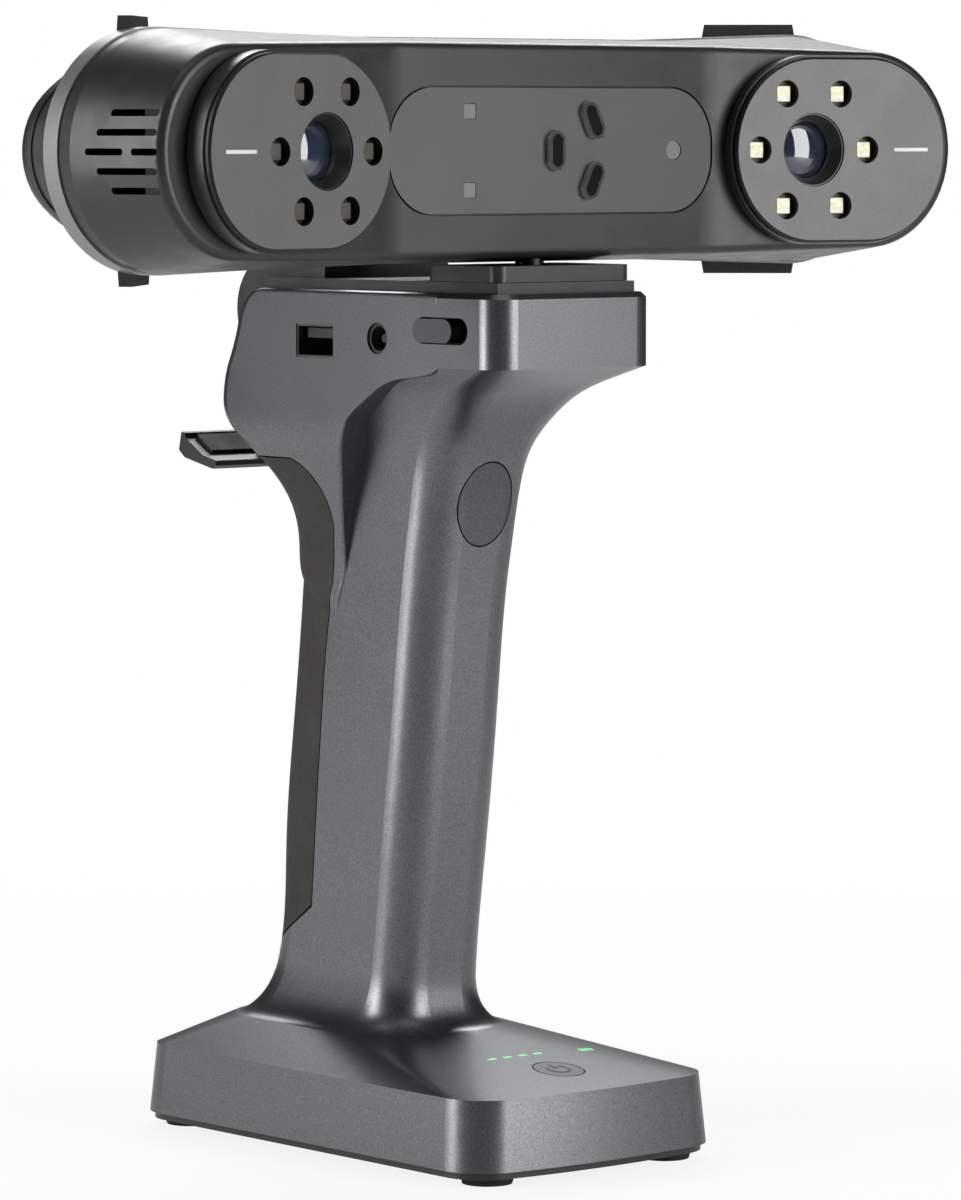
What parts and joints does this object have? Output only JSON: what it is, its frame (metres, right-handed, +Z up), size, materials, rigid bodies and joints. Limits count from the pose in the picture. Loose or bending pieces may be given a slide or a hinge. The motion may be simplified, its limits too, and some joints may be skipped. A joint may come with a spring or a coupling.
{
  "type": "handheld 3d scanner",
  "caption": "Handheld two-camera laser scanner head on an upright battery grip with a flat standing base, scan button, side sockets and a folding phone clamp behind.",
  "frame": {"origin": "on the table, under the middle of the base", "axes": "+Z up, the cameras look along -Y, +X to the right seen from the front"},
  "size_m": [0.2358, 0.127, 0.2525],
  "materials": {
    "casing": "fine matte",
    "frame_metal": "satin",
    "rubber": "matt",
    "black_plastic": "satin",
    "panel": "satin",
    "screw_steel": "machined",
    "black_steel": "black oxide",
    "socket_metal": "bright",
    "indicator": "translucent",
    "window_glass": "clear tinted",
    "board": "solder mask",
    "alloy": "machined",
    "handle_paint": "satin metallic paint",
    "button_plastic": "satin",
    "battery_wrap": "shrink wrap",
    "lens_plate": "satin",
    "led": "phosphor",
    "lens_glass": "coated"
  },
  "bodies": {
    "handle": {"front_shell": "casing", "rear_cover": "casing", "mid_frame": "frame_metal", "corner_bumpers": "rubber", "grip_pad": "rubber", "rubber_feet": "rubber", "end_grilles": "black_plastic", "mount_bracket": "black_plastic", "usb_tongue": "black_plastic", "dc_jack": "black_plastic", "laser_emitters": "black_plastic", "switch_body": "black_plastic", "trigger_switch": "black_plastic", "quick_release_plate": "black_plastic", "base_cover": "black_plastic", "centre_panel": "panel", "rear_screws": "screw_steel", "bracket_screws": "screw_steel", "base_screws": "screw_steel", "hinge_pin": "screw_steel", "tripod_screw": "black_steel", "tripod_bushing": "black_steel", "usb_socket": "socket_metal", "usb_c_socket": "socket_metal", "rear_light": "indicator", "charge_lights": "indicator", "status_light": "indicator", "laser_windows": "window_glass", "texture_camera": "window_glass", "pattern_windows": "window_glass", "main_board": "board", "power_board": "board", "control_board": "board", "optical_frame": "alloy", "heat_sink": "alloy", "handle_shell": "handle_paint", "battery_cells": "battery_wrap", "left_camera_housing": "black_plastic", "left_lens_barrel": "black_plastic", "left_lens_plate": "lens_plate", "left_light_board": "board", "left_sensor_board": "board", "left_lights": "led", "left_lens": "lens_glass", "right_camera_housing": "black_plastic", "right_lens_barrel": "black_plastic", "right_lens_plate": "lens_plate", "right_light_board": "board", "right_sensor_board": "board", "right_lights": "led", "right_lens": "lens_glass"},
    "trigger": {"trigger_button": "button_plastic"},
    "power": {"power_button": "button_plastic"},
    "switch": {"slide_switch": "button_plastic"},
    "rear_key": {"rear_button": "black_plastic"},
    "holder": {"holder_arm": "black_plastic", "upper_jaw": "black_plastic", "upper_jaw_pad": "rubber"},
    "jaw": {"lower_jaw": "black_plastic", "lower_jaw_pad": "rubber"}
  },
  "joints": [
    {"name": "trigger_press", "type": "slide", "parent": "handle", "child": "trigger", "axis": [0, 0.9765, 0.2156], "range_m": [0, 0.0008], "stiffness_N_per_m": 1500, "springref_m": -0.0006},
    {"name": "power_press", "type": "slide", "parent": "handle", "child": "power", "axis": [0, 0.1414, -0.99], "range_m": [0, 0.0006], "stiffness_N_per_m": 1500, "springref_m": -0.0006},
    {"name": "switch_slide", "type": "slide", "parent": "handle", "child": "switch", "axis": [0, -1, 0], "range_m": [0, 0.0042]},
    {"name": "rear_button_press", "type": "slide", "parent": "handle", "child": "rear_key", "axis": [0, -1, 0], "range_m": [0, 0.0008], "stiffness_N_per_m": 1500, "springref_m": -0.0006},
    {"name": "holder_tilt", "type": "hinge", "parent": "handle", "child": "holder", "pos_m": [0, 0.03275, 0.1878], "axis": [1, 0, 0], "range_deg": [0, 20]},
    {"name": "jaw_slide", "type": "slide", "parent": "holder", "child": "jaw", "axis": [0, 0.2079, -0.9781], "range_m": [0, 0.022], "stiffness_N_per_m": 300, "springref_m": -0.006}
  ]
}
